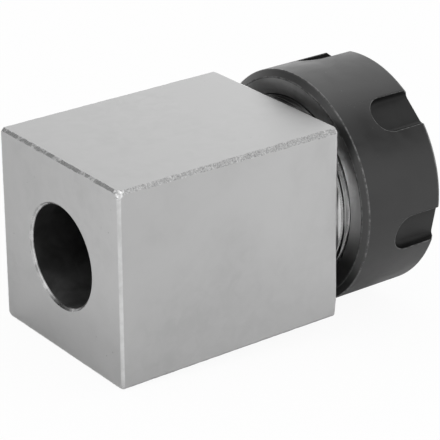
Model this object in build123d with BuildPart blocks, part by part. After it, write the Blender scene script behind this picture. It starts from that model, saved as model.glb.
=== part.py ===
from build123d import *
import os
from math import asin, cos, degrees, radians, tan

# Square collet block: a square steel block with a threaded nose and a tapered
# socket, a slotted clamping nut that screws on the nose, the spring collet in
# the socket, and the eccentric ring in the nut that snaps into the collet's
# groove and draws the collet out again.
#
# Frame: +X runs along the collet axis from the rear face to the nut, +Z is up,
# and the origin is on the axis in the plane of the rear face. Millimetres.

os.makedirs("parts", exist_ok=True)

# Square block
block_side = 52.0
block_length = 66.5
long_edge_chamfer = 0.8
rear_edge_chamfer = 0.6
shoulder_edge_chamfer = 0.5
bore_diameter = 26.5
bore_chamfer = 0.7

# Threaded nose
nose_length = 20.0
nose_chamfer = 0.8
neck_width = 1.5
neck_undercut = 0.15

# Thread shared by the nose and the nut, M50 x 1.5 right-hand
thread_diameter = 50.0
thread_pitch = 1.5
thread_half_angle = 30.0
thread_depth_share = 17 / 24
flank_clearance = 0.12
root_clearance = 0.15

# Tapered socket shared by the block and the collet
taper_half_angle = 8.0
socket_mouth_diameter = 40.0
socket_depth = 39.0
socket_mouth_chamfer = 0.3
seat_clearance = 0.05

# Spring collet
collet_diameter = 41.0
collet_length = 46.0
collet_bore_diameter = 25.0
collet_closing = 1.0
collet_land = 0.4
groove_width = 3.2
groove_diameter = 35.4
rim_diameter = 38.2
nose_face_diameter = 33.6
nose_cone_half_angle = 30.0
collet_end_chamfer = 0.5
slit_width = 1.2
slit_pairs = 8
rear_web = 6.0
front_web = 10.0

# Clamping nut
nut_diameter = 63.0
nut_height = 25.5
collet_proud = 1.1
rear_bevel_width = 2.0
rear_bevel_depth = 1.0
front_chamfer = 1.2
countersink = 0.05
thread_relief_width = 3.6
thread_relief_depth = 0.2
stop_clearance = 0.2
front_wall = 2.3
opening_chamfer = 0.4

# Spanner slots in the nut
slot_count = 6
slot_width = 10.0
slot_depth_share = 0.36
slot_length = 15.0
slot_first_angle = 11.5
slot_corner_share = 0.7

# Extractor ring
ring_flange_diameter = 46.8
ring_spigot_diameter = 40.6
ring_running_clearance = 0.1
spigot_clearance = 0.15
ring_recess = 0.2
ring_chamfer = 0.3
lip_thickness = 2.0
lip_diameter = 38.0
lip_offset = 1.0
ring_face_gap = 0.15
land_clearance = 0.4
pocket_clearance = 0.5
pocket_overrun = 0.2

# Snap ring that holds the extractor ring in the nut
snap_ring_width = 1.2
snap_ring_depth = 1.2
snap_ring_gap = 8.0
snap_groove_depth = 0.6
snap_ring_clearance = 0.05
snap_ring_play = 0.15
snap_spring_room = 0.15

# Places along the axis, from the block outwards
nose_face = block_length + nose_length
neck_end = block_length + neck_width
socket_floor = nose_face - socket_depth
taper_slope = tan(radians(taper_half_angle))
collet_oversize = (collet_diameter - socket_mouth_diameter) / 2 + seat_clearance
gauge_plane = nose_face + collet_oversize / taper_slope
groove_rear = gauge_plane + collet_land
groove_front = groove_rear + groove_width
nose_cone_slope = tan(radians(nose_cone_half_angle))
nose_cone_length = (rim_diameter - nose_face_diameter) / 2 / nose_cone_slope
collet_front = groove_front + nose_cone_length
collet_rear = collet_front - collet_length
nut_front = collet_front - collet_proud
nut_rear = nut_front - nut_height
front_wall_rear = nut_front - front_wall
closing_travel = (collet_closing / 2 + seat_clearance) / taper_slope
relief_front = nose_face + closing_travel + stop_clearance
relief_rear = relief_front - thread_relief_width
ring_rear = groove_rear + ring_face_gap
ring_shoulder = front_wall_rear - ring_running_clearance
ring_front = nut_front - ring_recess
lip_rear = (groove_rear + groove_front - lip_thickness) / 2
lip_front = lip_rear + lip_thickness
pocket_front = groove_front + pocket_overrun
snap_ring_rear = (ring_rear + ring_shoulder - snap_ring_width) / 2
snap_ring_front = snap_ring_rear + snap_ring_width

# Radii of the block, the nose and the socket
bore_radius = bore_diameter / 2
mouth_radius = socket_mouth_diameter / 2
socket_floor_radius = mouth_radius - socket_depth * taper_slope
thread_slope = tan(radians(thread_half_angle))
sharp_thread_height = thread_pitch / 2 / thread_slope
nose_crest_radius = thread_diameter / 2
nose_thread_height = sharp_thread_height * thread_depth_share
nose_root_radius = nose_crest_radius - nose_thread_height
neck_radius = nose_root_radius - neck_undercut

# Radii of the nut and what turns in it
nut_radius = nut_diameter / 2
nut_root_radius = nose_crest_radius + root_clearance
nut_crest_radius = nose_root_radius + root_clearance
countersink_radius = nut_root_radius + countersink
relief_radius = nut_root_radius + thread_relief_depth
slot_depth = slot_depth_share * (nut_radius - relief_radius)
slot_corner_radius = slot_corner_share * slot_depth
ring_flange_radius = ring_flange_diameter / 2
ring_seat_radius = ring_flange_radius + ring_running_clearance
ring_spigot_radius = ring_spigot_diameter / 2
opening_radius = ring_spigot_radius + spigot_clearance
snap_groove_radius = ring_seat_radius + snap_groove_depth
snap_outer_radius = snap_groove_radius - snap_ring_clearance
snap_inner_radius = snap_outer_radius - snap_ring_depth
snap_floor_radius = ring_flange_radius - snap_ring_depth - snap_spring_room

# Radii of the collet and of the ring around its nose
collet_radius = collet_diameter / 2
collet_bore_radius = collet_bore_diameter / 2
collet_rear_radius = collet_radius - (gauge_plane - collet_rear) * taper_slope
groove_radius = groove_diameter / 2
rim_radius = rim_diameter / 2
nose_face_radius = nose_face_diameter / 2
lip_radius = lip_diameter / 2
ring_mouth_radius = collet_radius + land_clearance
pocket_radius = rim_radius + pocket_clearance

# Ridges of the thread reach into the wall they stand on and run past their ends
ridge_embed = thread_pitch / 12
ridge_overrun = thread_pitch
cut_margin = 2 * thread_pitch
crest_half_width = thread_pitch / 16


def section(*points):
    """Closed section from points along the axis and out from it."""
    with BuildSketch(Plane.XY) as profile:
        with BuildLine():
            Polyline(*points, close=True)
        make_face()
    return profile.sketch


def helical_ridge(start, end, helix_radius, *points):
    """Right-handed ridge whose profile is drawn about the helix, along the axis and outwards."""
    with BuildPart() as ridge:
        with BuildLine() as path:
            Helix(thread_pitch, end - start, helix_radius, (start, 0, 0), (1, 0, 0))
        foot = path.line @ 0
        outward = Vector(0, foot.Y, foot.Z).normalized()
        around = Vector(1, 0, 0).cross(outward)
        with BuildSketch(Plane(foot, x_dir=(1, 0, 0), z_dir=around)):
            with BuildLine():
                Polyline(*points, close=True)
            make_face()
        sweep(path=path.line, is_frenet=True)
    return ridge.part


def nose_half_width(radius):
    """Half width of the nose's ridge at a radius."""
    return crest_half_width + (nose_crest_radius - radius) * thread_slope


def nut_half_width(radius):
    """Half width of the nut's ridge at a radius, with the flanks set back."""
    flank_gap = flank_clearance / cos(radians(thread_half_angle))
    return thread_pitch / 2 - nose_half_width(radius) - flank_gap


# Threaded nose: a core with its ridge, cut back to the neck and to the chamfered tip
ridge_start = neck_end - ridge_overrun
nose_foot = nose_half_width(nose_root_radius - ridge_embed)
clear_of_nose = nose_crest_radius + cut_margin
tip_radius = nose_crest_radius - nose_chamfer
with BuildPart() as threaded_nose:
    revolve(
        section(
            (block_length / 2, 0),
            (block_length / 2, nose_root_radius),
            (nose_face + cut_margin, nose_root_radius),
            (nose_face + cut_margin, 0),
        ),
        axis=Axis.X,
    )
    add(
        helical_ridge(
            ridge_start,
            nose_face + ridge_overrun,
            nose_root_radius,
            (-nose_foot, -ridge_embed),
            (-crest_half_width, nose_thread_height),
            (crest_half_width, nose_thread_height),
            (nose_foot, -ridge_embed),
        )
    )
    revolve(
        section(
            (block_length / 2, clear_of_nose),
            (block_length / 2, neck_radius),
            (neck_end, neck_radius),
            (neck_end, nose_root_radius),
            (neck_end + clear_of_nose - nose_root_radius, clear_of_nose),
        ),
        axis=Axis.X,
        mode=Mode.SUBTRACT,
    )
    revolve(
        section(
            (nose_face, 0),
            (nose_face, tip_radius),
            (nose_face + tip_radius - clear_of_nose, clear_of_nose),
            (nose_face + 2 * cut_margin, clear_of_nose),
            (nose_face + 2 * cut_margin, 0),
        ),
        axis=Axis.X,
        mode=Mode.SUBTRACT,
    )

# Square block with its threaded nose, rear bore and tapered socket
with BuildPart() as square_block:
    with BuildSketch(Plane.YZ):
        Rectangle(block_side, block_side)
    extrude(amount=block_length)
    chamfer(square_block.edges().filter_by(Axis.X), long_edge_chamfer)
    chamfer(square_block.faces().sort_by(Axis.X)[0].edges(), rear_edge_chamfer)
    chamfer(square_block.faces().sort_by(Axis.X)[-1].edges(), shoulder_edge_chamfer)
    add(threaded_nose.part)
    revolve(
        section(
            (0, 0),
            (0, bore_radius + bore_chamfer),
            (bore_chamfer, bore_radius),
            (socket_floor, bore_radius),
            (socket_floor, socket_floor_radius),
            (nose_face - socket_mouth_chamfer, mouth_radius - socket_mouth_chamfer * taper_slope),
            (nose_face, mouth_radius + socket_mouth_chamfer),
            (nose_face, 0),
        ),
        axis=Axis.X,
        mode=Mode.SUBTRACT,
    )
square_block.part.label = "square_block"
export_step(square_block.part, "parts/square_block.step")

# Cutter for one spanner slot at the top of the nut, round at its closed end and along its floor
with BuildPart() as slot_cutter:
    with BuildSketch(Plane.XY.offset(nut_radius - slot_depth)):
        with Locations((nut_front - slot_length + slot_width / 2, 0)):
            Circle(slot_width / 2)
            Rectangle(slot_length, slot_width, align=(Align.MIN, Align.CENTER))
    extrude(amount=2 * slot_depth)
    fillet(slot_cutter.faces().sort_by(Axis.Z)[0].edges(), slot_corner_radius)

# Clamping nut: the outside with its spanner slots and the seat of the extractor ring,
# then the thread in the middle of the nose's grooves, its countersink and its relief
turns_to_nut = (nut_rear - ridge_start) // thread_pitch
nut_thread_height = nut_root_radius - nut_crest_radius
nut_foot = nut_half_width(nut_root_radius + ridge_embed)
nut_crest = nut_half_width(nut_crest_radius)
under_nut_thread = nut_crest_radius - cut_margin
countersink_run = countersink_radius - under_nut_thread
with BuildPart() as clamping_nut:
    revolve(
        section(
            (nut_rear, nut_root_radius),
            (nut_rear, nut_radius - rear_bevel_width),
            (nut_rear + rear_bevel_depth, nut_radius),
            (nut_front - front_chamfer, nut_radius),
            (nut_front, nut_radius - front_chamfer),
            (nut_front, opening_radius + opening_chamfer),
            (nut_front - opening_chamfer, opening_radius),
            (front_wall_rear, opening_radius),
            (front_wall_rear, ring_seat_radius),
            (snap_ring_front, ring_seat_radius),
            (snap_ring_front, snap_groove_radius),
            (snap_ring_rear - snap_ring_clearance, snap_groove_radius),
            (snap_ring_rear - snap_ring_clearance, ring_seat_radius),
            (relief_front, ring_seat_radius),
            (relief_front, nut_root_radius),
        ),
        axis=Axis.X,
    )
    for slot in range(slot_count):
        slot_turn = slot_first_angle - 90 + slot * 360 / slot_count
        add(slot_cutter.part.rotate(Axis.X, slot_turn), mode=Mode.SUBTRACT)
    add(
        helical_ridge(
            ridge_start + (turns_to_nut - 0.5) * thread_pitch,
            relief_rear + ridge_overrun,
            nut_root_radius,
            (-nut_foot, ridge_embed),
            (-nut_crest, -nut_thread_height),
            (nut_crest, -nut_thread_height),
            (nut_foot, ridge_embed),
        )
    )
    revolve(
        section(
            (nut_rear - cut_margin, under_nut_thread),
            (nut_rear - cut_margin, countersink_radius + cut_margin),
            (nut_rear, countersink_radius + cut_margin),
            (nut_rear, countersink_radius),
            (nut_rear + countersink_run, under_nut_thread),
        ),
        axis=Axis.X,
        mode=Mode.SUBTRACT,
    )
    revolve(
        section(
            (relief_rear, under_nut_thread),
            (relief_rear, relief_radius),
            (relief_front, relief_radius),
            (relief_front, under_nut_thread),
        ),
        axis=Axis.X,
        mode=Mode.SUBTRACT,
    )
clamping_nut.part.label = "clamping_nut"
export_step(clamping_nut.part, "parts/clamping_nut.step")

# Extractor ring: flange turning in the nut, seat on the collet's cone, eccentric lip
with BuildPart() as extractor_ring:
    revolve(
        section(
            (ring_rear, ring_mouth_radius),
            (ring_rear, ring_flange_radius - ring_chamfer),
            (ring_rear + ring_chamfer, ring_flange_radius),
            (snap_ring_rear - snap_ring_play, ring_flange_radius),
            (snap_ring_rear - snap_ring_play, snap_floor_radius),
            (snap_ring_front + snap_ring_play, snap_floor_radius),
            (snap_ring_front + snap_ring_play, ring_flange_radius),
            (ring_shoulder - ring_chamfer, ring_flange_radius),
            (ring_shoulder, ring_flange_radius - ring_chamfer),
            (ring_shoulder, ring_spigot_radius),
            (ring_front - ring_chamfer, ring_spigot_radius),
            (ring_front, ring_spigot_radius - ring_chamfer),
            (ring_front, nose_face_radius + (collet_front - ring_front) * nose_cone_slope),
            (pocket_front, nose_face_radius + (collet_front - pocket_front) * nose_cone_slope),
            (pocket_front, pocket_radius),
            (lip_front, pocket_radius),
            (lip_front, lip_radius - 2 * lip_offset),
            (lip_rear, lip_radius - 2 * lip_offset),
            (lip_rear, ring_mouth_radius),
        ),
        axis=Axis.X,
    )
    with BuildSketch(Plane.YZ.offset(ring_rear)):
        with Locations((0, lip_offset)):
            Circle(lip_radius)
    extrude(amount=lip_front - ring_rear, mode=Mode.SUBTRACT)
extractor_ring.part.label = "extractor_ring"
export_step(extractor_ring.part, "parts/extractor_ring.step")

# Snap ring, open by a gap so that it can be sprung together
snap_gap_angle = degrees(2 * asin(snap_ring_gap / 2 / snap_outer_radius))
with BuildPart() as snap_ring:
    revolve(
        section(
            (snap_ring_rear, snap_inner_radius),
            (snap_ring_rear, snap_outer_radius),
            (snap_ring_front, snap_outer_radius),
            (snap_ring_front, snap_inner_radius),
        ),
        axis=Axis.X,
        revolution_arc=360 - snap_gap_angle,
    )
snap_ring.part.label = "snap_ring"
export_step(snap_ring.part, "parts/snap_ring.step")

# Spring collet: tapered sleeve, groove and cone at the nose, slits from both ends in turn
with BuildPart() as spring_collet:
    revolve(
        section(
            (collet_rear, collet_bore_radius + collet_end_chamfer),
            (collet_rear, collet_rear_radius - collet_end_chamfer),
            (
                collet_rear + collet_end_chamfer,
                collet_rear_radius + collet_end_chamfer * taper_slope,
            ),
            (gauge_plane, collet_radius),
            (groove_rear, collet_radius),
            (groove_rear, groove_radius),
            (groove_front, groove_radius),
            (groove_front, rim_radius),
            (collet_front, nose_face_radius),
            (collet_front, collet_bore_radius + collet_end_chamfer),
            (collet_front - collet_end_chamfer, collet_bore_radius),
            (collet_rear + collet_end_chamfer, collet_bore_radius),
        ),
        axis=Axis.X,
    )
    slit_pitch = 360 / slit_pairs
    with BuildSketch(Plane.YZ.offset(collet_rear + rear_web)):
        with PolarLocations(collet_bore_radius / 2, slit_pairs):
            Rectangle(collet_radius, slit_width, align=(Align.MIN, Align.CENTER))
    extrude(amount=collet_length, mode=Mode.SUBTRACT)
    with BuildSketch(Plane.YZ.offset(collet_front - front_web)):
        with PolarLocations(collet_bore_radius / 2, slit_pairs, start_angle=slit_pitch / 2):
            Rectangle(collet_radius, slit_width, align=(Align.MIN, Align.CENTER))
    extrude(amount=-collet_length, mode=Mode.SUBTRACT)
spring_collet.part.label = "spring_collet"
export_step(spring_collet.part, "parts/spring_collet.step")

print("gap between the shoulder and the nut", round(nut_rear - block_length, 3))
print("thread engagement", round(nose_face - nut_rear, 3))
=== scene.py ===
"""Looks of the square collet block, dressed round its solids.

Shapes are given in millimetres and turn into metres where a mesh is made. The camera, the
lights, the floor and the places that a material reads are in metres.
"""

import math

import bmesh
import bpy
from mathutils import Matrix, Vector, noise


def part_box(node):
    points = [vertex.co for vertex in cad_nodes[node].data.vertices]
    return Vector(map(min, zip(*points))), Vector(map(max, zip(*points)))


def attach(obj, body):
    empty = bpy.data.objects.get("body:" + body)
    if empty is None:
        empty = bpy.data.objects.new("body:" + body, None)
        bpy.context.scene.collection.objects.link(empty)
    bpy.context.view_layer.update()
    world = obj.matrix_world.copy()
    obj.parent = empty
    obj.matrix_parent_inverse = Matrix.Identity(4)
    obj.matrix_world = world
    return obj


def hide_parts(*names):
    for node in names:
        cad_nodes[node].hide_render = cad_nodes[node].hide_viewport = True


MM = 0.001

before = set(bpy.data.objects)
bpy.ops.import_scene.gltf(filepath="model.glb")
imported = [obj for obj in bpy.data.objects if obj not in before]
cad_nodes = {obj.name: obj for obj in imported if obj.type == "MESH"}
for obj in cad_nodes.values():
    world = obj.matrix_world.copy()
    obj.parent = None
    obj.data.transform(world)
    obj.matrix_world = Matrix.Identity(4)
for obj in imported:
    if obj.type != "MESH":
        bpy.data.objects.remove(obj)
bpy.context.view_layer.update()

# Places read from the solids, in metres
_, block_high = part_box("square_block")
nut_low, nut_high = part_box("clamping_nut")
half_side = block_high.z
nut_radius = nut_high.z

# The same sizes as the solids have
BLOCK_LENGTH = 66.5
BORE_CHAMFER = 0.7
SOCKET_FLOOR = 47.5
NUT_BEVEL_WIDTH = 2.0
NUT_BEVEL_DEPTH = 1.0
NUT_FRONT_CHAMFER = 1.2
SLOT_COUNT = 6
SLOT_WIDTH = 10.0
SLOT_DEPTH = 2.214
SLOT_LENGTH = 15.0
SLOT_FIRST_ANGLE = 11.5

# Camera: angles in degrees, distances in metres, the lens in millimetres
CAMERA_AZIMUTH = -36.766
CAMERA_ELEVATION = 24.2091
CAMERA_ROLL = -0.201
CAMERA_DISTANCE = 0.564731
CAMERA_TARGET = Vector((0.046, 0.0, 0.0))
CAMERA_ASIDE = -0.002262
CAMERA_DOWN = -0.002357
CAMERA_LENS = 180.508
CAMERA_REACH = (0.01, 100.0)


def add_object(name, data):
    """New object in the scene."""
    thing = bpy.data.objects.new(name, data)
    bpy.context.scene.collection.objects.link(thing)
    return thing


def place_camera():
    """Camera at the photograph's viewing angle."""
    azimuth = math.radians(CAMERA_AZIMUTH)
    elevation = math.radians(CAMERA_ELEVATION)
    roll = math.radians(CAMERA_ROLL)
    ahead = Vector(
        (
            -math.sin(azimuth) * math.cos(elevation),
            math.cos(azimuth) * math.cos(elevation),
            -math.sin(elevation),
        )
    )
    level = ahead.cross(Vector((0, 0, 1))).normalized()
    upright = level.cross(ahead)
    right = level * math.cos(roll) + upright * math.sin(roll)
    up = upright * math.cos(roll) - level * math.sin(roll)
    place = CAMERA_TARGET - right * CAMERA_ASIDE + up * CAMERA_DOWN - ahead * CAMERA_DISTANCE
    data = bpy.data.cameras.new("camera")
    data.lens = CAMERA_LENS
    data.clip_start, data.clip_end = CAMERA_REACH
    camera = add_object("camera", data)
    turned = Matrix((right, up, -ahead)).transposed().to_4x4()
    turned.translation = place
    camera.matrix_world = turned
    bpy.context.scene.camera = camera


# In what follows a feed is a pair of a node and one of its outputs

# A Mix node's two sockets for colours, and its output for them
MIX_FIRST, MIX_SECOND, MIXED = 6, 7, 2


def put(tree, thing, node, socket):
    """Puts a feed, a number or a colour into a node's socket."""
    if isinstance(thing, tuple) and len(thing) == 2:
        source, output = thing
        tree.links.new(source.outputs[output], node.inputs[socket])
    else:
        node.inputs[socket].default_value = thing


def group_tree(name, inputs, outputs):
    """Empty node group with its sockets; gives the tree and its two end nodes."""
    tree = bpy.data.node_groups.new(name, "ShaderNodeTree")
    for label, kind, value in inputs:
        socket = tree.interface.new_socket(label, in_out="INPUT", socket_type=kind)
        if value is not None:
            socket.default_value = value
    for label, kind in outputs:
        tree.interface.new_socket(label, in_out="OUTPUT", socket_type=kind)
    return tree, tree.nodes.new("NodeGroupInput"), tree.nodes.new("NodeGroupOutput")


def ranged(tree, feed, low, high, to_low, to_high, ease="LINEAR"):
    """A value moved from one range to another, clamped."""
    node = tree.nodes.new("ShaderNodeMapRange")
    node.interpolation_type = ease
    node.inputs["From Min"].default_value = low
    node.inputs["From Max"].default_value = high
    node.inputs["To Min"].default_value = to_low
    node.inputs["To Max"].default_value = to_high
    put(tree, feed, node, "Value")
    return node, "Result"


def calc(tree, operation, first, second):
    """Math on two things, each a number or a feed."""
    node = tree.nodes.new("ShaderNodeMath")
    node.operation = operation
    put(tree, first, node, 0)
    put(tree, second, node, 1)
    return node, "Value"


def noise_at(tree, place, size, detail, roughness, distortion=0.0):
    """Noise over the surface; its size is a number or a feed."""
    node = tree.nodes.new("ShaderNodeTexNoise")
    node.inputs["Detail"].default_value = detail
    node.inputs["Roughness"].default_value = roughness
    node.inputs["Distortion"].default_value = distortion
    put(tree, place, node, "Vector")
    put(tree, size, node, "Scale")
    return node, "Fac"


def split_place(tree, place):
    """Node that gives the X, Y and Z of a place."""
    parts = tree.nodes.new("ShaderNodeSeparateXYZ")
    put(tree, place, parts, "Vector")
    return parts


def axis_distance(tree, parts):
    """Distance of a split place from the collet axis."""
    across = tree.nodes.new("ShaderNodeCombineXYZ")
    put(tree, (parts, "Y"), across, "Y")
    put(tree, (parts, "Z"), across, "Z")
    radius = tree.nodes.new("ShaderNodeVectorMath")
    radius.operation = "LENGTH"
    put(tree, (across, "Vector"), radius, "Vector")
    return radius, "Value"


def make_clouds():
    """Cloudy stains: 0 to 1, soft, at a chosen size."""
    tree, start, end = group_tree(
        "cloudy stains",
        [("Vector", "NodeSocketVector", None), ("Size", "NodeSocketFloat", 100.0)],
        [("Mask", "NodeSocketFloat")],
    )
    cloud = noise_at(tree, (start, "Vector"), (start, "Size"), 5.0, 0.55, 0.6)
    put(tree, ranged(tree, cloud, 0.3, 0.7, 0.0, 1.0, "SMOOTHSTEP"), end, "Mask")
    return tree


def make_pits():
    """Sparse small pits: mask 1 in a pit, 0 elsewhere."""
    tree, start, end = group_tree(
        "small pits",
        [
            ("Vector", "NodeSocketVector", None),
            ("Spacing", "NodeSocketFloat", 400.0),
            ("Radius", "NodeSocketFloat", 0.12),
            ("Share", "NodeSocketFloat", 0.3),
        ],
        [("Mask", "NodeSocketFloat")],
    )
    cells = tree.nodes.new("ShaderNodeTexVoronoi")
    put(tree, (start, "Vector"), cells, "Vector")
    put(tree, (start, "Spacing"), cells, "Scale")
    near = calc(tree, "DIVIDE", (cells, "Distance"), (start, "Radius"))
    dip = ranged(tree, near, 0.4, 1.0, 1.0, 0.0)
    split = tree.nodes.new("ShaderNodeSeparateColor")
    put(tree, (cells, "Color"), split, "Color")
    chosen = calc(tree, "LESS_THAN", (split, "Red"), (start, "Share"))
    depth = calc(tree, "MULTIPLY", chosen, (split, "Green"))
    put(tree, calc(tree, "MULTIPLY", dip, depth), end, "Mask")
    return tree


def make_turning():
    """Fine lines that run round the collet axis, on cylinders, cones and faces alike."""
    tree, start, end = group_tree(
        "turning lines",
        [("Vector", "NodeSocketVector", None), ("Lines", "NodeSocketFloat", 4000.0)],
        [("Height", "NodeSocketFloat"), ("Bands", "NodeSocketFloat")],
    )
    parts = split_place(tree, (start, "Vector"))
    flat = tree.nodes.new("ShaderNodeCombineXYZ")
    put(tree, (parts, "X"), flat, "X")
    put(tree, axis_distance(tree, parts), flat, "Y")
    fine = noise_at(tree, (flat, "Vector"), (start, "Lines"), 2.0, 0.6)
    coarse = noise_at(tree, (flat, "Vector"), 700.0, 3.0, 0.6)
    put(tree, fine, end, "Height")
    put(tree, ranged(tree, coarse, 0.35, 0.65, 0.0, 1.0), end, "Bands")
    return tree


def make_grit():
    """Coarse grit marks of a hand-held grinder: height and a light and dark mask."""
    tree, start, end = group_tree(
        "grinder grit",
        [("Vector", "NodeSocketVector", None), ("Grit", "NodeSocketFloat", 1800.0)],
        [("Height", "NodeSocketFloat"), ("Light", "NodeSocketFloat")],
    )
    grit = noise_at(tree, (start, "Vector"), (start, "Grit"), 3.0, 0.7)
    put(tree, grit, end, "Height")
    put(tree, ranged(tree, grit, 0.38, 0.62, 0.0, 1.0), end, "Light")
    return tree


CLOUDS = make_clouds()
PITS = make_pits()
TURNING = make_turning()
GRIT = make_grit()


def grouped(tree, effect, place, **values):
    """Places a shared effect that reads the given coordinates."""
    node = tree.nodes.new("ShaderNodeGroup")
    node.node_tree = effect
    put(tree, place, node, "Vector")
    for name, value in values.items():
        node.inputs[name].default_value = value
    return node


def clouds_at(tree, place, size):
    """Mask of the cloudy stains at one size."""
    return grouped(tree, CLOUDS, place, Size=size), "Mask"


def stretched(tree, place, scale):
    """Coordinates stretched along an axis, for lines and streaks."""
    node = tree.nodes.new("ShaderNodeMapping")
    node.inputs["Scale"].default_value = scale
    put(tree, place, node, "Vector")
    return node, "Vector"


def grey(value):
    """Neutral colour."""
    return (value, value, value, 1.0)


def blend_colour(tree, factor, first, second):
    """Mix of two colours by a factor; a colour may be a feed."""
    node = tree.nodes.new("ShaderNodeMix")
    node.data_type = "RGBA"
    put(tree, factor, node, "Factor")
    put(tree, first, node, MIX_FIRST)
    put(tree, second, node, MIX_SECOND)
    return node, MIXED


def toned(tree, colour, share):
    """Colour made darker or lighter by a share of itself."""
    node = tree.nodes.new("ShaderNodeVectorMath")
    node.operation = "SCALE"
    put(tree, colour, node, 0)
    put(tree, share, node, "Scale")
    return node, "Vector"


def set_gloss(tree, shader, mask, at_none, at_full):
    """Roughness of a finish, from where its mask is 0 to where it is 1."""
    put(tree, ranged(tree, mask, 0.0, 1.0, at_none, at_full), shader, "Roughness")


def set_bump(tree, shader, height, strength, depth):
    """Bump of a finish; its depth is in millimetres."""
    node = tree.nodes.new("ShaderNodeBump")
    node.inputs["Strength"].default_value = strength
    node.inputs["Distance"].default_value = depth * MM
    put(tree, height, node, "Height")
    put(tree, (node, "Normal"), shader, "Normal")


def finish_material(name, metallic, roughness, specular=0.5):
    """New material; gives it, its tree, its Principled shader and its Object coordinates."""
    material = bpy.data.materials.new(name)
    material.use_nodes = True
    tree = material.node_tree
    shader = tree.nodes["Principled BSDF"]
    shader.inputs["Metallic"].default_value = metallic
    shader.inputs["Roughness"].default_value = roughness
    shader.inputs["Specular IOR Level"].default_value = specular
    return material, tree, shader, (tree.nodes.new("ShaderNodeTexCoord"), "Object")


# Places in metres: where the painted light and shade on a ground face begin and end along each
# axis, the heights of the painted shade at its foot, of the rubbed part of the bore and of the
# coat fading in on the nut's bevel, and the distances from the axis over which the coat of the
# slots' floors fades out
PAINTED_LIGHT_SPANS = {"X": (0.0, 0.0665), "Y": (-0.026, 0.026)}
FOOT_SHADE_SPAN = (-0.026, -0.006)
RUBBED_SPAN = (-0.014, -0.006)
BEVEL_COAT_SPAN = (-0.019, -0.013)
SLOT_COAT_SPAN = (0.0293, 0.0302)


def make_ground_steel(name, dark, light, axis, light_at_start, light_at_end, foot=1.0):
    """Surface-ground faces of the block: satin, with cloudy stains, faint streaks and a few pits.

    The tone changes slowly along one axis, from one share of itself to another, as painted light
    and shade, and towards the foot of the face it changes to a third, as painted shade.
    """
    material, tree, shader, place = finish_material(name, 1.0, 0.36)
    wide = clouds_at(tree, place, 34.0)
    small = clouds_at(tree, place, 260.0)
    streaks = clouds_at(tree, stretched(tree, place, (0.25, 1.0, 1.0)), 700.0)
    pits = grouped(tree, PITS, place, Spacing=420.0, Radius=0.10, Share=0.10)
    stained = blend_colour(tree, wide, grey(dark), grey(light))
    faint = ranged(tree, small, 0.0, 1.0, 0.0, 0.5)
    mottled = blend_colour(tree, faint, stained, grey(light))
    pitted = blend_colour(tree, (pits, "Mask"), mottled, grey(0.25))
    parts = split_place(tree, place)
    # Painted light and shade: the tone rises or falls along one axis, and falls towards the foot
    # of the rear face
    along = ranged(tree, (parts, axis), *PAINTED_LIGHT_SPANS[axis], light_at_start, light_at_end)
    painted_foot_shade = ranged(tree, (parts, "Z"), *FOOT_SHADE_SPAN, foot, 1.0)
    share = calc(tree, "MULTIPLY", along, painted_foot_shade)
    put(tree, toned(tree, pitted, share), shader, "Base Color")
    set_gloss(tree, shader, wide, 0.34, 0.42)
    raised = calc(tree, "MULTIPLY", streaks, 0.3)
    sunk = calc(tree, "SUBTRACT", raised, (pits, "Mask"))
    set_bump(tree, shader, sunk, 0.25, 0.02)
    return material


def make_ground_edge():
    """Chamfers ground by hand: fine grit with light and dark specks."""
    material, tree, shader, place = finish_material("hand_ground_chamfer", 1.0, 0.42)
    grit = grouped(tree, GRIT, place, Grit=2600.0)
    wear = ranged(tree, clouds_at(tree, place, 240.0), 0.0, 1.0, 0.0, 0.35)
    specks = blend_colour(tree, (grit, "Light"), grey(0.29), grey(0.62))
    put(tree, blend_colour(tree, wear, specks, grey(0.48)), shader, "Base Color")
    set_gloss(tree, shader, (grit, "Light"), 0.62, 0.5)
    set_bump(tree, shader, (grit, "Height"), 0.6, 0.08)
    return material


def make_smooth_edge():
    """Chamfers cut clean and left bright."""
    material, tree, shader, place = finish_material("bright_chamfer", 1.0, 0.34)
    wear = clouds_at(tree, place, 300.0)
    put(tree, blend_colour(tree, wear, grey(0.57), grey(0.70)), shader, "Base Color")
    set_gloss(tree, shader, wear, 0.30, 0.42)
    set_bump(tree, shader, wear, 0.2, 0.02)
    return material


def make_scaled_edge():
    """Chamfer with dark scale left on it, chipped away here and there."""
    material, tree, shader, place = finish_material("scaled_chamfer", 1.0, 0.5)
    chips = clouds_at(tree, place, 340.0)
    grit = grouped(tree, GRIT, place, Grit=1800.0)
    scale = blend_colour(tree, (grit, "Light"), grey(0.50), grey(0.80))
    bare = ranged(tree, chips, 0.62, 0.74, 0.0, 1.0)
    put(tree, blend_colour(tree, bare, scale, grey(0.95)), shader, "Base Color")
    set_gloss(tree, shader, (grit, "Light"), 0.55, 0.4)
    set_bump(tree, shader, (grit, "Height"), 0.4, 0.05)
    return material


def make_broken_corner():
    """Corners knocked off by hand: bright and lumpy."""
    material, tree, shader, place = finish_material("broken_corner", 1.0, 0.4)
    lumps = clouds_at(tree, place, 900.0)
    put(tree, blend_colour(tree, lumps, grey(0.50), grey(0.84)), shader, "Base Color")
    set_gloss(tree, shader, lumps, 0.5, 0.36)
    set_bump(tree, shader, lumps, 0.7, 0.25)
    return material


def make_bored_mouth():
    """Chamfer at the bore's mouth: dark scale left in patches, with turning lines painted bright
    as highlights.
    """
    material, tree, shader, place = finish_material("bored_mouth_chamfer", 1.0, 0.25)
    patches = clouds_at(tree, place, 330.0)
    lines = grouped(tree, TURNING, place, Lines=3500.0)
    scale = blend_colour(tree, patches, grey(0.14), grey(0.48))
    # Painted highlight: some turning lines are made bright
    highlight_streak = ranged(tree, (lines, "Height"), 0.46, 0.62, 0.0, 0.6)
    put(tree, blend_colour(tree, highlight_streak, scale, grey(0.86)), shader, "Base Color")
    set_gloss(tree, shader, patches, 0.42, 0.24)
    set_bump(tree, shader, (lines, "Height"), 0.6, 0.08)
    return material


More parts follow.
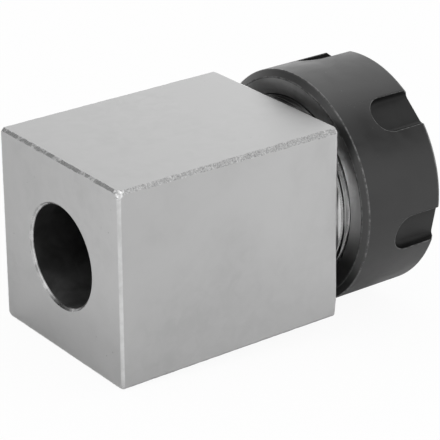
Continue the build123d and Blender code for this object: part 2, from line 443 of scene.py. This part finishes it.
def make_dark_bore():
    """Rear bore, very dark, and rubbed lighter along its underside."""
    material, tree, shader, place = finish_material("dark_bore", 0.6, 0.5)
    clouds = clouds_at(tree, place, 150.0)
    lines = grouped(tree, TURNING, place, Lines=3000.0)
    colour = blend_colour(tree, clouds, grey(0.03), grey(0.06))
    rubbed = ranged(tree, (split_place(tree, place), "Z"), *RUBBED_SPAN, 3.0, 1.0)
    put(tree, toned(tree, colour, rubbed), shader, "Base Color")
    set_gloss(tree, shader, (lines, "Bands"), 0.36, 0.5)
    set_bump(tree, shader, (lines, "Height"), 0.4, 0.03)
    return material


def make_turned_steel(name, dark, light, low_gloss, high_gloss, depth, painted_tones=()):
    """Turned or cylindrically ground steel, with lines that run round it.

    Each painted tone is light or shade painted on with the height: where it begins, where it is
    full, and the share of the tone that is left there.
    """
    material, tree, shader, place = finish_material(name, 1.0, low_gloss)
    lines = grouped(tree, TURNING, place, Lines=5000.0)
    colour = blend_colour(tree, clouds_at(tree, place, 180.0), grey(dark), grey(light))
    parts = split_place(tree, place)
    # Painted light and shade that change with the height
    for begin, full, share in painted_tones:
        colour = toned(tree, colour, ranged(tree, (parts, "Z"), begin, full, 1.0, share))
    put(tree, colour, shader, "Base Color")
    set_gloss(tree, shader, (lines, "Bands"), low_gloss, high_gloss)
    set_bump(tree, shader, (lines, "Height"), 0.5, depth)
    return material


def make_black_oxide():
    """Black oxide on finely turned steel: satin, with pits and faint rubbing."""
    material, tree, shader, place = finish_material("black_oxide_satin", 0.0, 0.42, 0.62)
    lines = grouped(tree, TURNING, place, Lines=4500.0)
    clouds = clouds_at(tree, place, 130.0)
    pits = grouped(tree, PITS, place, Spacing=600.0, Radius=0.16, Share=0.12)
    colour = blend_colour(tree, clouds, grey(0.006), grey(0.010))
    put(tree, blend_colour(tree, (pits, "Mask"), colour, grey(0.06)), shader, "Base Color")
    set_gloss(tree, shader, clouds, 0.38, 0.46)
    raised = calc(tree, "MULTIPLY", (lines, "Height"), 0.4)
    sunk = calc(tree, "SUBTRACT", raised, (pits, "Mask"))
    set_bump(tree, shader, sunk, 0.3, 0.03)
    return material


def make_bevel_oxide():
    """The nut's turned bevel: glossy oxide over plain tool marks, its coat fading out towards the
    bottom.
    """
    material, tree, shader, place = finish_material("turned_bevel_oxide", 0.0, 0.40, 0.12)
    shader.inputs["Coat IOR"].default_value = 1.7
    shader.inputs["Coat Roughness"].default_value = 0.38
    lines = grouped(tree, TURNING, place, Lines=2500.0)
    shine = ranged(tree, (split_place(tree, place), "Z"), *BEVEL_COAT_SPAN, 0.0, 1.0)
    marks = ranged(tree, (lines, "Bands"), 0.0, 1.0, 0.82, 1.0)
    put(tree, calc(tree, "MULTIPLY", shine, marks), shader, "Coat Weight")
    colour = blend_colour(tree, (lines, "Bands"), grey(0.008), grey(0.022))
    put(tree, colour, shader, "Base Color")
    set_gloss(tree, shader, (lines, "Bands"), 0.44, 0.34)
    set_bump(tree, shader, (lines, "Bands"), 0.6, 0.1)
    return material


def make_milled_slot():
    """Milled spanner slots: oxide that reflects little, as painted shade in the slots, with a
    glossy coat on the floors that fades out up the walls.
    """
    # Painted shade: the slots' oxide reflects little, so the slots stay dark
    material, tree, shader, place = finish_material("milled_slot_oxide_painted_shade", 0.0, 0.5, 0.07)
    shader.inputs["Coat Roughness"].default_value = 0.5
    radius = axis_distance(tree, split_place(tree, place))
    put(tree, ranged(tree, radius, *SLOT_COAT_SPAN, 0.62, 0.0), shader, "Coat Weight")
    clouds = clouds_at(tree, place, 220.0)
    marks = clouds_at(tree, stretched(tree, place, (0.3, 1.0, 1.0)), 1500.0)
    put(tree, blend_colour(tree, clouds, grey(0.004), grey(0.008)), shader, "Base Color")
    set_gloss(tree, shader, clouds, 0.48, 0.58)
    set_bump(tree, shader, marks, 0.15, 0.02)
    return material


def make_worn_oxide():
    """Edges of the nut, where handling has rubbed the oxide thin."""
    material, tree, shader, place = finish_material("rubbed_oxide_edge", 0.5, 0.38)
    grit = grouped(tree, GRIT, place, Grit=900.0)
    colour = blend_colour(tree, (grit, "Light"), grey(0.05), grey(0.15))
    put(tree, colour, shader, "Base Color")
    set_gloss(tree, shader, (grit, "Light"), 0.45, 0.32)
    set_bump(tree, shader, (grit, "Height"), 0.3, 0.03)
    return material


# Painted shade on top of the nose, and painted shade and light on the nut's rear face, with
# heights in metres
NOSE_PAINTED_SHADE = ((0.0195, 0.0225, 0.32),)
FACE_PAINTED_LIGHT_AND_SHADE = ((0.001, -0.013, 0.34), (0.009, 0.015, 0.40), (0.0175, 0.0215, 1.8))

# The top, the sides and the rear are copies of one ground finish, each toned lighter or darker as
# painted light and shade
GROUND_TOP = make_ground_steel("surface_ground_top", 0.348, 0.400, "X", 0.96, 1.02)
GROUND_SIDE = make_ground_steel("surface_ground_side", 0.448, 0.505, "X", 0.98, 1.11)
GROUND_REAR = make_ground_steel("surface_ground_rear", 0.440, 0.510, "Y", 1.09, 0.92, 0.88)
GROUND_EDGE = make_ground_edge()
SMOOTH_EDGE = make_smooth_edge()
SCALED_EDGE = make_scaled_edge()
BROKEN_CORNER = make_broken_corner()
BORED_MOUTH = make_bored_mouth()
DARK_BORE = make_dark_bore()
TURNED_NOSE = make_turned_steel("turned_nose_steel", 0.54, 0.66, 0.12, 0.20, 0.01, NOSE_PAINTED_SHADE)
# The block's shoulder, in the gap behind the nut, is made nearly black as painted shade
SHOULDER_PAINTED_SHADE = make_turned_steel("shoulder_painted_shade", 0.04, 0.07, 0.34, 0.46, 0.02)
BLACK_OXIDE = make_black_oxide()
BEVEL_OXIDE = make_bevel_oxide()
SLOT_OXIDE_PAINTED_SHADE = make_milled_slot()
WORN_OXIDE = make_worn_oxide()
NUT_THREAD = make_turned_steel("oxidised_nut_thread", 0.05, 0.09, 0.34, 0.46, 0.02)
NUT_FACE = make_turned_steel("turned_nut_face", 0.54, 0.66, 0.36, 0.46, 0.05, FACE_PAINTED_LIGHT_AND_SHADE)
COLLET_STEEL = make_turned_steel("ground_collet_steel", 0.48, 0.56, 0.22, 0.32, 0.01)
RING_STEEL = make_turned_steel("turned_ring_steel", 0.20, 0.28, 0.30, 0.42, 0.02)
SPRING_STEEL = make_turned_steel("blued_spring_steel", 0.10, 0.14, 0.28, 0.38, 0.01)


# Tolerances in metres: for points that are one, and for a face's outline in its plane
TOUCHING = 1e-6
IN_PLANE = 2e-6
# Points of a fresh cut that are nearer than this are welded, and edges sharper than this
# angle in degrees are rounded
CUT_WELD = 0.005
SHARP_ANGLE = 25.0


def radius_of(point):
    """Distance of a point from the collet axis."""
    return math.hypot(point.y, point.z)


def in_plane(part, axis, place, slack=TOUCHING):
    """Whether an edge or a face lies in a plane square to an axis."""
    return all(abs(v.co[axis] - place) < slack for v in part.verts)


def mesh_object(mesh, name):
    """Object made from a bmesh, which is used up."""
    data = bpy.data.meshes.new(name)
    mesh.to_mesh(data)
    mesh.free()
    return add_object(name, data)


def as_piece(mesh, name, body, materials, smooth_angle):
    """Turns a bmesh into a finished piece that rides on a body."""
    piece = mesh_object(mesh, name)
    data = piece.data
    for material in materials:
        data.materials.append(material)
    stale = data.attributes.get("custom_normal")
    if stale:
        data.attributes.remove(stale)
    data.set_sharp_from_angle(angle=math.radians(smooth_angle))
    weighted = piece.modifiers.new("weighted_normals", "WEIGHTED_NORMAL")
    weighted.keep_sharp = True
    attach(piece, body)
    return piece


def merged_copy(node):
    """A solid's mesh as a new bmesh, with its loose triangles joined."""
    mesh = bmesh.new()
    mesh.from_mesh(cad_nodes[node].data)
    bmesh.ops.remove_doubles(mesh, verts=mesh.verts, dist=TOUCHING)
    return mesh


def join_mesh(mesh, other):
    """Adds another bmesh to this one."""
    carried = bpy.data.meshes.new("carried")
    other.to_mesh(carried)
    other.free()
    mesh.from_mesh(carried)
    bpy.data.meshes.remove(carried)


def spun(profile, steps):
    """Closed solid of revolution about the collet axis, from points along it and out from it."""
    mesh = bmesh.new()
    points = [mesh.verts.new((x * MM, 0.0, r * MM)) for x, r in profile]
    edges = [mesh.edges.new(ends) for ends in zip(points, points[1:] + points[:1])]
    bmesh.ops.spin(
        mesh,
        geom=points + edges,
        cent=(0, 0, 0),
        axis=(1, 0, 0),
        angle=2 * math.pi,
        steps=steps,
        use_merge=True,
    )
    bmesh.ops.recalc_face_normals(mesh, faces=mesh.faces)
    return mesh


def cut_from(mesh, cutter):
    """What is left of a solid when a cutter has been taken out of it."""
    blank = mesh_object(mesh, "blank")
    tool = mesh_object(cutter, "cutter")
    cut = blank.modifiers.new("cut", "BOOLEAN")
    cut.operation = "DIFFERENCE"
    cut.solver = "EXACT"
    cut.object = tool
    graph = bpy.context.evaluated_depsgraph_get()
    result = bpy.data.meshes.new_from_object(blank.evaluated_get(graph))
    left = bmesh.new()
    left.from_mesh(result)
    for thing in (blank, tool):
        data = thing.data
        bpy.data.objects.remove(thing)
        bpy.data.meshes.remove(data)
    bpy.data.meshes.remove(result)
    bmesh.ops.remove_doubles(left, verts=left.verts, dist=CUT_WELD * MM)
    bmesh.ops.dissolve_degenerate(left, edges=left.edges, dist=CUT_WELD * MM)
    return left


def bevel_edges(mesh, edges, width, segments):
    """Bevels edges, and gives the new faces."""
    made = bmesh.ops.bevel(
        mesh,
        geom=edges,
        offset=width * MM,
        offset_type="OFFSET",
        segments=segments,
        profile=0.5,
        affect="EDGES",
        clamp_overlap=False,
        material=-1,
    )
    return made["faces"]


def fill_flat(mesh, axis, place, material):
    """Fills the flat face in one plane, between its outline and any round opening in it."""
    edges = [e for e in mesh.edges if e.is_boundary and in_plane(e, axis, place, IN_PLANE)]
    made = bmesh.ops.triangle_fill(mesh, edges=edges, use_beauty=True, use_dissolve=False)
    for item in made["geom"]:
        if isinstance(item, bmesh.types.BMFace):
            item.material_index = material
            item.smooth = False


# Faces of the block: the axis that each is square to, and its end of it
FACES = {
    "rear": (0, -1),
    "shoulder": (0, 1),
    "right": (1, -1),
    "left": (1, 1),
    "base": (2, -1),
    "top": (2, 1),
}
# Chamfer along each edge between two faces: its width at both ends, how ragged it is, and how
# far its grit stands out
EDGE_CUTS = {
    ("right", "top"): (0.85, 1.25, 0.30, 0.03),
    ("left", "top"): (0.8, 0.7, 0.14, 0.04),
    ("right", "base"): (0.7, 0.75, 0.10, 0.03),
    ("left", "base"): (0.75, 0.7, 0.12, 0.03),
    ("rear", "top"): (0.65, 0.75, 0.20, 0.05),
    ("rear", "right"): (0.7, 0.75, 0.04, 0.008),
    ("rear", "left"): (0.6, 0.65, 0.08, 0.02),
    ("rear", "base"): (0.6, 0.55, 0.10, 0.03),
    ("shoulder", "top"): (0.5, 0.55, 0.10, 0.03),
    ("shoulder", "right"): (0.15, 1.25, 0.03, 0.01),
    ("shoulder", "left"): (0.5, 0.5, 0.08, 0.02),
    ("shoulder", "base"): (0.5, 0.5, 0.08, 0.02),
}
# Edges that are cut wider towards their start: over which share of the length, and by how much
START_CUTS = {("shoulder", "right"): (0.09, 0.95)}
# Corners that are cut more or less than the rest: the distances from the three faces, summed
CORNER_CUTS = {
    ("rear", "right", "top"): 2.6,
    ("shoulder", "right", "top"): 2.1,
    ("shoulder", "right", "base"): 1.0,
}
PLAIN_CORNER = 1.6
# Places of the block's materials in its list
FLAT, GRITTY, BORE, NOSE, BRIGHT, SCALED, SHOULDER, CORNER, SIDE, REAR, MOUTH = range(11)
BLOCK_MATERIALS = (
    GROUND_TOP,
    GROUND_EDGE,
    DARK_BORE,
    TURNED_NOSE,
    SMOOTH_EDGE,
    SCALED_EDGE,
    SHOULDER_PAINTED_SHADE,
    BROKEN_CORNER,
    GROUND_SIDE,
    GROUND_REAR,
    BORED_MOUTH,
)
EDGE_FINISHES = {
    ("right", "top"): GRITTY,
    ("right", "base"): GRITTY,
    ("left", "top"): GRITTY,
    ("left", "base"): GRITTY,
    ("rear", "top"): SCALED,
}
# The box is first cut evenly, then its vertices settle where the cut really runs. They move
# up to a reach from each edge, and stand a step apart along it.
FIRST_CUT = 0.6
CORNER_REACH = 2.4
EDGE_STEP = 0.28
CUTS_ACROSS = 3
# The box's flat faces have more than this area in square metres. Its long edges are longer
# than LONG_EDGE and within SAME_LENGTH of a side of the box, in metres.
FLAT_AREA = 0.001
LONG_EDGE = 0.01
SAME_LENGTH = 0.003
# Edges that run across a chamfer are longer than this
ACROSS_LENGTH = 0.36
# Unevenness of an edge: its length in noise units, how far apart the edges and their two sides
# lie in the noise, and the wave, the layer and the share of its coarse and its fine part
RAGGED_LENGTH = 60.0
EDGE_APART = 17.3
SIDE_APART = 5.1
RAGGED_WAVES = ((0.55, 0.3, 0.9), (2.3, 7.7, 0.7))
# Lumps of the corners, and coarse and fine grit of the chamfers: wave, place and share
CORNER_LUMPS = (1.3, Vector((9.0, 4.0, 6.0)), 0.18)
COARSE_GRIT = (2.1, Vector((3.0, 1.0, 2.0)), 1.0)
FINE_GRIT = (5.3, Vector((0.0, 0.0, 0.0)), 0.5)
# Grit marks only what lies between the chamfer's two borders, this far inside and outside
GRIT_INSIDE = 0.02
GRIT_OUTSIDE = 0.01
# The facet of a broken corner takes in what lies this little above it
CORNER_SLACK = 0.02
# Nothing of the nose, the socket or the bore is further out than this
NOSE_REACH = 25.1
# The bore's finish ends this little past the socket's floor, so that it takes the floor in
FLOOR_SLACK = 0.1
# Edges with a larger angle than this, in degrees, stay sharp
BLOCK_SMOOTH_ANGLE = 25.0


def edge_name(face, other):
    """The edge between two faces, as the tables name it."""
    return (face, other) if (face, other) in EDGE_CUTS else (other, face)


def noise_of(point, waves):
    """Noise at a point, from its wave, its place in the noise and its share."""
    wave, place, share = waves
    return share * noise.noise(point / MM * wave + place)


def edge_cut(face, other, along):
    """Width of the chamfer on a face towards another, at a share of the edge's length."""
    pair = edge_name(face, other)
    start, end, ragged, _ = EDGE_CUTS[pair]
    seed = sorted(EDGE_CUTS).index(pair) * EDGE_APART
    seed += SIDE_APART if pair == (face, other) else 0.0
    length = RAGGED_LENGTH * along
    uneven = sum(
        share * noise.noise(Vector((length * wave, seed, layer)))
        for wave, layer, share in RAGGED_WAVES
    )
    reach, more = START_CUTS.get(pair, (1.0, 0.0))
    wider = more * max(0.0, 1.0 - along / reach)
    return start + wider + (end - start) * along + ragged * uneven


def face_gaps(point):
    """Distance of a point from each of the six faces' planes, in millimetres."""
    x, y, z = point / MM
    half = half_side / MM
    return {
        "rear": x,
        "shoulder": BLOCK_LENGTH - x,
        "right": half + y,
        "left": half - y,
        "base": half + z,
        "top": half - z,
    }


def share_along(axis, point):
    """Share of an edge's length at a point, for the axis that the edge runs along."""
    if axis == 0:
        return point.x / MM / BLOCK_LENGTH
    return (point[axis] + half_side) / (2 * half_side)


def corner_of(point):
    """Nearest corner of the sharp box: its three faces, and a point's distances summed."""
    gaps = face_gaps(point)
    near = tuple(f for f in FACES if gaps[f] <= sorted(gaps.values())[2])
    return near, sum(gaps[f] for f in near)


def corner_cut(point, near):
    """How deep a corner is cut where the line from the corner to a point crosses the cut."""
    return CORNER_CUTS.get(near, PLAIN_CORNER) * (1.0 + noise_of(point, CORNER_LUMPS))


def break_corner(point):
    """Draws a vertex out from the sharp corner to the facet that cuts it off."""
    near, total = corner_of(point)
    depth = corner_cut(point, near)
    if total >= depth:
        return point
    gaps = face_gaps(point)
    corner = point.copy()
    for face in near:
        axis, side = FACES[face]
        corner[axis] += side * gaps[face] * MM
    return corner + (point - corner) * (depth / total)


def edge_finish(point):
    """Finish of the chamfer that a point of the evenly cut box lies on."""
    gaps = face_gaps(point)
    near = sorted(gaps, key=gaps.get)
    if gaps[near[2]] < FIRST_CUT:
        return BRIGHT
    return EDGE_FINISHES.get(edge_name(near[0], near[1]), BRIGHT)


def width_on(face, point, gaps):
    """Width of the chamfers on a face at a point, the nearer ones weighing more."""
    axis = FACES[face][0]
    width = weights = 0.0
    for other, gap in gaps.items():
        weight = FIRST_CUT - gap
        if FACES[other][0] != axis and weight > 0.0:
            along = share_along(3 - axis - FACES[other][0], point)
            width += weight * edge_cut(other, face, along)
            weights += weight
    return width / weights if weights else None


def settled_gap(gap, width, rounded):
    """Distance from a face's plane for a vertex of the evenly cut box, at a chamfer's width."""
    if gap > FIRST_CUT:
        fade = (CORNER_REACH - gap) / (CORNER_REACH - FIRST_CUT)
        return gap + (width - FIRST_CUT) * fade
    share = gap / FIRST_CUT
    if rounded:
        share = 1.0 - math.cos(share * math.pi / 2)
    return share * width


def grit_mark(point, gaps):
    """How far the grit has bitten into a chamfer at a vertex of the evenly cut box."""
    mark = Vector()
    near = sorted((f for f in gaps if gaps[f] < FIRST_CUT + GRIT_OUTSIDE), key=gaps.get)[:2]
    if len(near) < 2 or gaps[near[0]] <= GRIT_INSIDE:
        return mark
    for face in near:
        axis, side = FACES[face]
        mark[axis] = -side
    grit = noise_of(point, COARSE_GRIT) + noise_of(point, FINE_GRIT)
    return mark.normalized() * abs(grit) * EDGE_CUTS[edge_name(*near)][3] * MM


def settle_corner(point):
    """Moves a vertex of the evenly cut box to where the hand-ground cut really runs."""
    gaps = {f: g for f, g in face_gaps(point).items() if g < CORNER_REACH}
    rounded = edge_finish(point) == BRIGHT
    moved = point.copy()
    for face, gap in gaps.items():
        width = width_on(face, point, gaps)
        if width is not None:
            axis, side = FACES[face]
            moved[axis] += side * (gap - settled_gap(gap, width, rounded)) * MM
    return break_corner(moved + grit_mark(point, gaps))


def ragged_box():
    """The block's outside with its chamfers, open where its six flat faces go."""
    mesh = bmesh.new()
    bmesh.ops.create_cube(mesh, size=1.0)
    size = Vector((BLOCK_LENGTH * MM, 2 * half_side, 2 * half_side))
    bmesh.ops.scale(mesh, vec=size, verts=mesh.verts)
    bmesh.ops.translate(mesh, vec=(size.x / 2, 0, 0), verts=mesh.verts)
    bevel_edges(mesh, mesh.edges[:], FIRST_CUT, 1)
    flat = [f for f in mesh.faces if f.calc_area() > FLAT_AREA]
    bmesh.ops.delete(mesh, geom=flat, context="FACES_ONLY")
    long_edges = [e for e in mesh.edges if e.calc_length() > LONG_EDGE]
    for length in (size.x, size.y):
        same = [e for e in long_edges if abs(e.calc_length() - length) < SAME_LENGTH]
        cuts = round(length / MM / EDGE_STEP)
        bmesh.ops.subdivide_edges(mesh, edges=same, cuts=cuts, use_grid_fill=False)
    shortest = ACROSS_LENGTH * MM
    across = [e for e in mesh.edges if e.calc_length() > shortest and not e.is_boundary]
    bmesh.ops.subdivide_edges(mesh, edges=across, cuts=CUTS_ACROSS, use_grid_fill=True)
    for face in mesh.faces:
        face.material_index = edge_finish(face.calc_center_median())
        face.smooth = True
    for vertex in mesh.verts:
        vertex.co = settle_corner(vertex.co)
    for face in mesh.faces:
        centre = face.calc_center_median()
        near, total = corner_of(centre)
        if total < corner_cut(centre, near) + CORNER_SLACK:
            face.material_index = CORNER
    return mesh


def make_block():
    """Square block: hand-ground chamfers outside, and the solid's own bore, socket and nose."""
    mesh = merged_copy("square_block")
    shoulder = BLOCK_LENGTH * MM
    reach = NOSE_REACH * MM
    outer = [
        f
        for f in mesh.faces
        if in_plane(f, 0, 0.0)
        or in_plane(f, 0, shoulder)
        or all(max(abs(v.co.y), abs(v.co.z)) > reach for v in f.verts)
    ]
    bmesh.ops.delete(mesh, geom=outer, context="FACES")
    for face in mesh.faces:
        face.smooth = True
        depth = face.calc_center_median().x / MM
        if depth < BORE_CHAMFER:
            face.material_index = MOUTH
        elif depth < SOCKET_FLOOR + FLOOR_SLACK:
            face.material_index = BORE
        else:
            face.material_index = NOSE
    join_mesh(mesh, ragged_box())
    fill_flat(mesh, 0, 0.0, REAR)
    fill_flat(mesh, 0, shoulder, SHOULDER)
    for side in (-1, 1):
        fill_flat(mesh, 1, side * half_side, SIDE)
        fill_flat(mesh, 2, side * half_side, FLAT)
    bmesh.ops.recalc_face_normals(mesh, faces=mesh.faces)
    block = as_piece(
        mesh, "ground_block", "block", BLOCK_MATERIALS, BLOCK_SMOOTH_ANGLE
    )
    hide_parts("square_block")


# The nut's new outside is cut from a shell with this inner radius, and stands for the solid's
# faces that are further out than OUTSIDE_RADIUS
NUT_STEPS = 180
SHELL_RADIUS = 27.0
SHELL_SLACK = 0.01
OUTSIDE_RADIUS = 28.2
# Sharp edges further out than this are rounded
ROUNDED_RADIUS = 28.0
NUT_ROUNDING = 0.25
ROUNDING_STEPS = 2
# Edges with a larger angle than this, in degrees, stay sharp
NUT_SMOOTH_ANGLE = 50.0
# The slots' cutter runs out past the nut's front and above it
SLOT_OVERRUN = 4.0
SLOT_ROUNDING = 1.55
SLOT_END_STEPS = 14
SLOT_FLOOR_STEPS = 4
CUTTER_WELD = 0.01
# How far a slot's faces may be off its sides and ends, and how far below the nut's outside
SLOT_SLACK = 0.01
RIM_SLACK = 0.05
# Places of the nut's materials in its list
OXIDE, RUBBED, THREAD, TURNED, MILLED, BEVEL = range(6)
NUT_MATERIALS = (BLACK_OXIDE, WORN_OXIDE, NUT_THREAD, NUT_FACE, SLOT_OXIDE_PAINTED_SHADE, BEVEL_OXIDE)


def in_slot(point, front):
    """Whether a point of the nut's outside is on the wall or the floor of a slot."""
    step = 2 * math.pi / SLOT_COUNT
    angle = math.atan2(point.z, point.y) - math.radians(SLOT_FIRST_ANGLE)
    angle = (angle + step / 2) % step - step / 2
    aside = radius_of(point) * math.sin(angle) / MM
    return (
        abs(aside) < SLOT_WIDTH / 2 + SLOT_SLACK
        and radius_of(point) < nut_radius - RIM_SLACK * MM
        and front - SLOT_LENGTH - SLOT_SLACK < point.x / MM < front - SLOT_SLACK
    )


def slot_cutters(front):
    """The six spanner slots: round at the closed end, with a rounded floor."""
    mesh = bmesh.new()
    bmesh.ops.create_cube(mesh, size=1.0)
    length = SLOT_LENGTH + SLOT_OVERRUN
    size = Vector((length, SLOT_WIDTH, SLOT_DEPTH + SLOT_OVERRUN)) * MM
    floor = nut_radius / MM - SLOT_DEPTH
    middle = Vector((front + SLOT_OVERRUN - length / 2, 0, floor)) * MM
    middle += Vector((0, 0, size.z / 2))
    bmesh.ops.scale(mesh, vec=size, verts=mesh.verts)
    bmesh.ops.translate(mesh, vec=middle, verts=mesh.verts)
    closed_end = (front - SLOT_LENGTH) * MM
    upright = [
        e
        for e in mesh.edges
        if in_plane(e, 0, closed_end) and in_plane(e, 1, e.verts[0].co.y)
    ]
    bevel_edges(mesh, upright, SLOT_WIDTH / 2, SLOT_END_STEPS)
    bmesh.ops.remove_doubles(mesh, verts=mesh.verts, dist=CUTTER_WELD * MM)
    bottom = [e for e in mesh.edges if in_plane(e, 2, floor * MM)]
    bevel_edges(mesh, bottom, SLOT_ROUNDING, SLOT_FLOOR_STEPS)
    turn = Matrix.Rotation(math.radians(SLOT_FIRST_ANGLE - 90), 4, "X")
    bmesh.ops.transform(mesh, matrix=turn, verts=mesh.verts)
    bmesh.ops.spin(
        mesh,
        geom=mesh.verts[:] + mesh.edges[:] + mesh.faces[:],
        cent=(0, 0, 0),
        axis=(1, 0, 0),
        angle=2 * math.pi * (SLOT_COUNT - 1) / SLOT_COUNT,
        steps=SLOT_COUNT - 1,
        use_duplicate=True,
    )
    bmesh.ops.recalc_face_normals(mesh, faces=mesh.faces)
    return mesh


def nut_outside():
    """The nut's outside with its slots and rounded edges, open where its two flat faces go."""
    rear, front = nut_low.x / MM, nut_high.x / MM
    radius = nut_radius / MM
    shell = spun(
        [
            (rear, SHELL_RADIUS),
            (rear, radius - NUT_BEVEL_WIDTH),
            (rear + NUT_BEVEL_DEPTH, radius),
            (front - NUT_FRONT_CHAMFER, radius),
            (front, radius - NUT_FRONT_CHAMFER),
            (front, SHELL_RADIUS),
        ],
        NUT_STEPS,
    )
    mesh = cut_from(shell, slot_cutters(front))
    for face in mesh.faces:
        centre = face.calc_center_median()
        if in_slot(centre, front):
            face.material_index = MILLED
        elif nut_low.x + TOUCHING < centre.x < nut_low.x + NUT_BEVEL_DEPTH * MM:
            face.material_index = BEVEL
    rounded = ROUNDED_RADIUS * MM
    sharp = [
        e
        for e in mesh.edges
        if e.is_manifold
        and e.calc_face_angle() > math.radians(SHARP_ANGLE)
        and all(radius_of(v.co) > rounded for v in e.verts)
    ]
    for face in bevel_edges(mesh, sharp, NUT_ROUNDING, ROUNDING_STEPS):
        face.material_index = RUBBED
    inner = (SHELL_RADIUS + SHELL_SLACK) * MM
    spare = [f for f in mesh.faces if all(radius_of(v.co) < inner for v in f.verts)]
    bmesh.ops.delete(mesh, geom=spare, context="FACES")
    flat = [
        f
        for f in mesh.faces
        if in_plane(f, 0, nut_low.x, IN_PLANE) or in_plane(f, 0, nut_high.x, IN_PLANE)
    ]
    bmesh.ops.delete(mesh, geom=flat, context="FACES")
    return mesh


def make_nut():
    """Clamping nut: rounded outside with its slots, and the solid's own thread and ring seat."""
    mesh = merged_copy("clamping_nut")
    beyond = OUTSIDE_RADIUS * MM
    outer = [
        f
        for f in mesh.faces
        if in_plane(f, 0, nut_low.x)
        or in_plane(f, 0, nut_high.x)
        or all(radius_of(v.co) > beyond for v in f.verts)
    ]
    bmesh.ops.delete(mesh, geom=outer, context="FACES")
    for face in mesh.faces:
        face.material_index = THREAD
    join_mesh(mesh, nut_outside())
    for face in mesh.faces:
        face.smooth = True
    fill_flat(mesh, 0, nut_low.x, TURNED)
    fill_flat(mesh, 0, nut_high.x, OXIDE)
    bmesh.ops.recalc_face_normals(mesh, faces=mesh.faces)
    nut = as_piece(mesh, "slotted_nut", "nut", NUT_MATERIALS, NUT_SMOOTH_ANGLE)
    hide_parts("clamping_nut")


# The floor, in metres: its side, the gap under the object, and where the block's rear edge
# stands on it, just past the chamfer
FLOOR_SIZE = 6.0
FLOOR_GAP = 0.0002
HEEL = 0.0006
FLOOR_WHITE = 0.92
FLOOR_GLOW = 0.93


def make_floor():
    """White floor under the block's rear edge and the nut's rim, on which the object leans."""
    heel = Vector((HEEL, 0.0, -half_side))
    rim = Vector((nut_low.x + NUT_BEVEL_DEPTH * MM, 0.0, -nut_radius))
    slope = (rim - heel).normalized()
    normal = Vector((-slope.z, 0.0, slope.x))
    mesh = bmesh.new()
    bmesh.ops.create_grid(mesh, x_segments=1, y_segments=1, size=FLOOR_SIZE / 2)
    turn = normal.to_track_quat("Z", "Y").to_matrix().to_4x4()
    bmesh.ops.transform(mesh, matrix=turn, verts=mesh.verts)
    bmesh.ops.translate(mesh, vec=heel - normal * FLOOR_GAP, verts=mesh.verts)
    floor = mesh_object(mesh, "floor")
    material = bpy.data.materials.new("white_floor")
    material.use_nodes = True
    tree = material.node_tree
    tree.nodes.clear()
    end = tree.nodes.new("ShaderNodeOutputMaterial")
    path = tree.nodes.new("ShaderNodeLightPath")
    paper = tree.nodes.new("ShaderNodeBsdfDiffuse")
    paper.inputs["Color"].default_value = grey(FLOOR_WHITE)
    glow = tree.nodes.new("ShaderNodeEmission")
    glow.inputs["Color"].default_value = grey(1.0)
    mix = tree.nodes.new("ShaderNodeMixShader")
    put(tree, calc(tree, "MULTIPLY", (path, "Is Camera Ray"), FLOOR_GLOW), mix, "Fac")
    put(tree, (paper, 0), mix, 1)
    put(tree, (glow, 0), mix, 2)
    put(tree, (mix, "Shader"), end, "Surface")
    floor.data.materials.append(material)


# Darker and brighter parts of the room in reflections: which way, how bright, and the cosines
# of the angles at which each begins and is full
ROOM_SIDES = (
    ((0.62, -0.45, 0.643), 0.05, 0.925, 0.985),
    ((0.60, 0.38, 0.704), 1.6, 0.91, 0.985),
    ((0.60, 0.79, 0.10), 1.8, 0.93, 0.99),
    ((-0.44, 0.71, 0.55), 0.03, 0.82, 0.95),
    ((-0.57, -0.66, 0.49), 0.10, 0.93, 0.985),
)
ROOM_GLOW = 0.8


def make_world():
    """White surroundings, even in diffuse light and less so in reflections."""
    world = bpy.data.worlds.new("studio")
    world.use_nodes = True
    bpy.context.scene.world = world
    tree = world.node_tree
    background = tree.nodes["Background"]
    background.inputs["Color"].default_value = grey(1.0)
    way = tree.nodes.new("ShaderNodeTexCoord")
    sides = []
    for heading, level, begin, full in ROOM_SIDES:
        facing = tree.nodes.new("ShaderNodeVectorMath")
        facing.operation = "DOT_PRODUCT"
        put(tree, (way, "Generated"), facing, 0)
        facing.inputs[1].default_value = heading
        sides.append(ranged(tree, (facing, "Value"), begin, full, 1.0, level, "SMOOTHSTEP"))
    room = sides[0]
    for side in sides[1:]:
        room = calc(tree, "MULTIPLY", room, side)
    path = tree.nodes.new("ShaderNodeLightPath")
    clear = calc(tree, "MAXIMUM", (path, "Is Glossy Ray"), (path, "Is Transmission Ray"))
    plain = tree.nodes.new("ShaderNodeMix")
    plain.inputs["A"].default_value = ROOM_GLOW
    put(tree, clear, plain, "Factor")
    put(tree, room, plain, "B")
    strength = calc(tree, "MAXIMUM", (plain, "Result"), (path, "Is Camera Ray"))
    put(tree, strength, background, "Strength")


# Soft lights: name, place, side and power
LIGHTS = (
    ("ceiling", Vector((0.3, 0.2, 1.4)), 1.6, 1.5),
    ("front", Vector((-0.1, -1.4, 0.85)), 0.9, 7.0),
)
LIGHT_AIM = Vector((0.04, 0.0, 0.0))


def make_lights():
    """Soft lights from above and from the front."""
    for name, place, side, power in LIGHTS:
        data = bpy.data.lights.new(name, "AREA")
        data.shape = "RECTANGLE"
        data.size = data.size_y = side
        data.energy = power
        light = add_object(name, data)
        light.location = place
        light.rotation_mode = "QUATERNION"
        light.rotation_quaternion = (LIGHT_AIM - place).to_track_quat("-Z", "Y")


make_block()
make_nut()

for node, material in (
    ("extractor_ring", RING_STEEL),
    ("snap_ring", SPRING_STEEL),
    ("spring_collet", COLLET_STEEL),
):
    materials = cad_nodes[node].data.materials
    materials.clear()
    materials.append(material)

make_floor()
make_world()
make_lights()
place_camera()

bpy.context.scene.view_settings.view_transform = "Standard"
